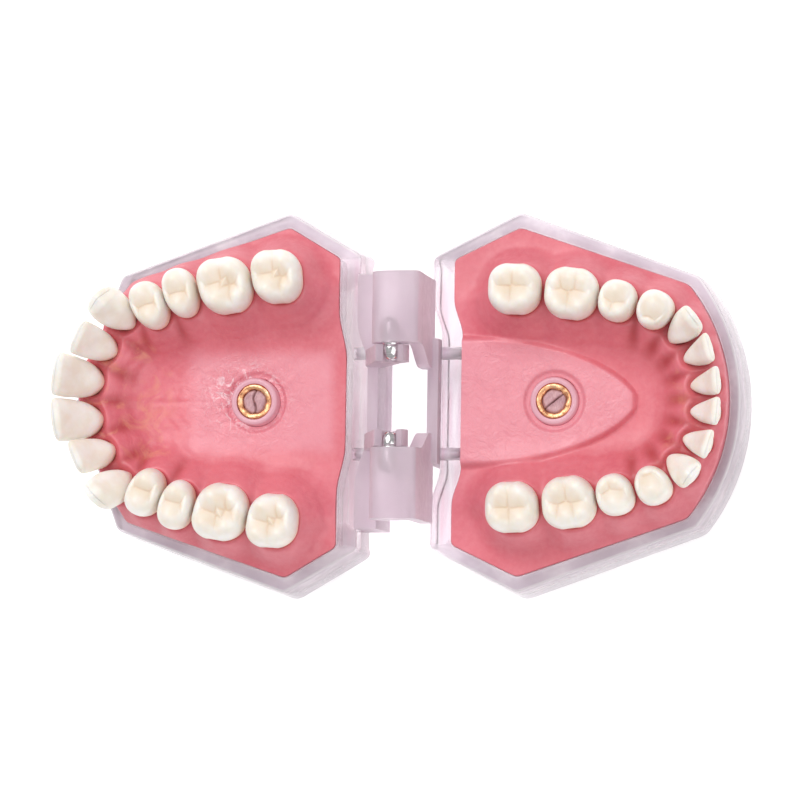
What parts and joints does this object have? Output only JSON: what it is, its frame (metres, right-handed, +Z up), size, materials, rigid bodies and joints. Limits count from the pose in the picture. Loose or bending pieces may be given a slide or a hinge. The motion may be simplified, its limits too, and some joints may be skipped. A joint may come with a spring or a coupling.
{
  "type": "dental typodont model",
  "caption": "Pair of hinged dental jaw models: clear trays with pink gums and full arches of teeth, opened flat on a plastic hinge with steel pins.",
  "frame": {"origin": "centre of the opened model's footprint, on the table plane that both trays stand on", "axes": "+X from the upper jaw to the lower jaw, across the hinge; +Y towards the patient's left; +Z up from the table"},
  "size_m": [0.1264, 0.072, 0.0286],
  "materials": {
    "clear_acrylic": "clear polished acrylic",
    "gum_resin": "glossy pink resin",
    "tooth_resin": "cream resin, soft gloss",
    "frosted_plastic": "frosted translucent lavender plastic",
    "brass": "turned brass",
    "plug_resin": "mauve filling resin",
    "pin_steel": "bright steel",
    "screw_steel": "steel"
  },
  "bodies": {
    "lower_jaw": {"lower_base": "clear_acrylic", "lower_gum": "gum_resin", "lower_insert": "brass", "lower_insert_plug": "plug_resin", "lower_left_central_incisor": "tooth_resin", "lower_right_central_incisor": "tooth_resin", "lower_left_lateral_incisor": "tooth_resin", "lower_right_lateral_incisor": "tooth_resin", "lower_left_canine": "tooth_resin", "lower_right_canine": "tooth_resin", "lower_left_first_premolar": "tooth_resin", "lower_right_first_premolar": "tooth_resin", "lower_left_second_premolar": "tooth_resin", "lower_right_second_premolar": "tooth_resin", "lower_left_first_molar": "tooth_resin", "lower_right_first_molar": "tooth_resin", "lower_left_second_molar": "tooth_resin", "lower_right_second_molar": "tooth_resin", "lower_hinge_leaf": "frosted_plastic", "lower_leaf_screws": "screw_steel", "hinge_pins": "pin_steel"},
    "upper_jaw": {"upper_base": "clear_acrylic", "upper_gum": "gum_resin", "upper_insert": "brass", "upper_insert_plug": "plug_resin", "upper_left_central_incisor": "tooth_resin", "upper_right_central_incisor": "tooth_resin", "upper_left_lateral_incisor": "tooth_resin", "upper_right_lateral_incisor": "tooth_resin", "upper_left_canine": "tooth_resin", "upper_right_canine": "tooth_resin", "upper_left_first_premolar": "tooth_resin", "upper_right_first_premolar": "tooth_resin", "upper_left_second_premolar": "tooth_resin", "upper_right_second_premolar": "tooth_resin", "upper_left_first_molar": "tooth_resin", "upper_right_first_molar": "tooth_resin", "upper_left_second_molar": "tooth_resin", "upper_right_second_molar": "tooth_resin", "upper_hinge_leaf": "frosted_plastic", "upper_leaf_screws": "screw_steel"}
  },
  "joints": [
    {"name": "jaw_hinge", "type": "hinge", "parent": "lower_jaw", "child": "upper_jaw", "pos_m": [0.00045, 0, 0.025], "axis": [0, 1, 0], "range_deg": [0, 180]}
  ]
}
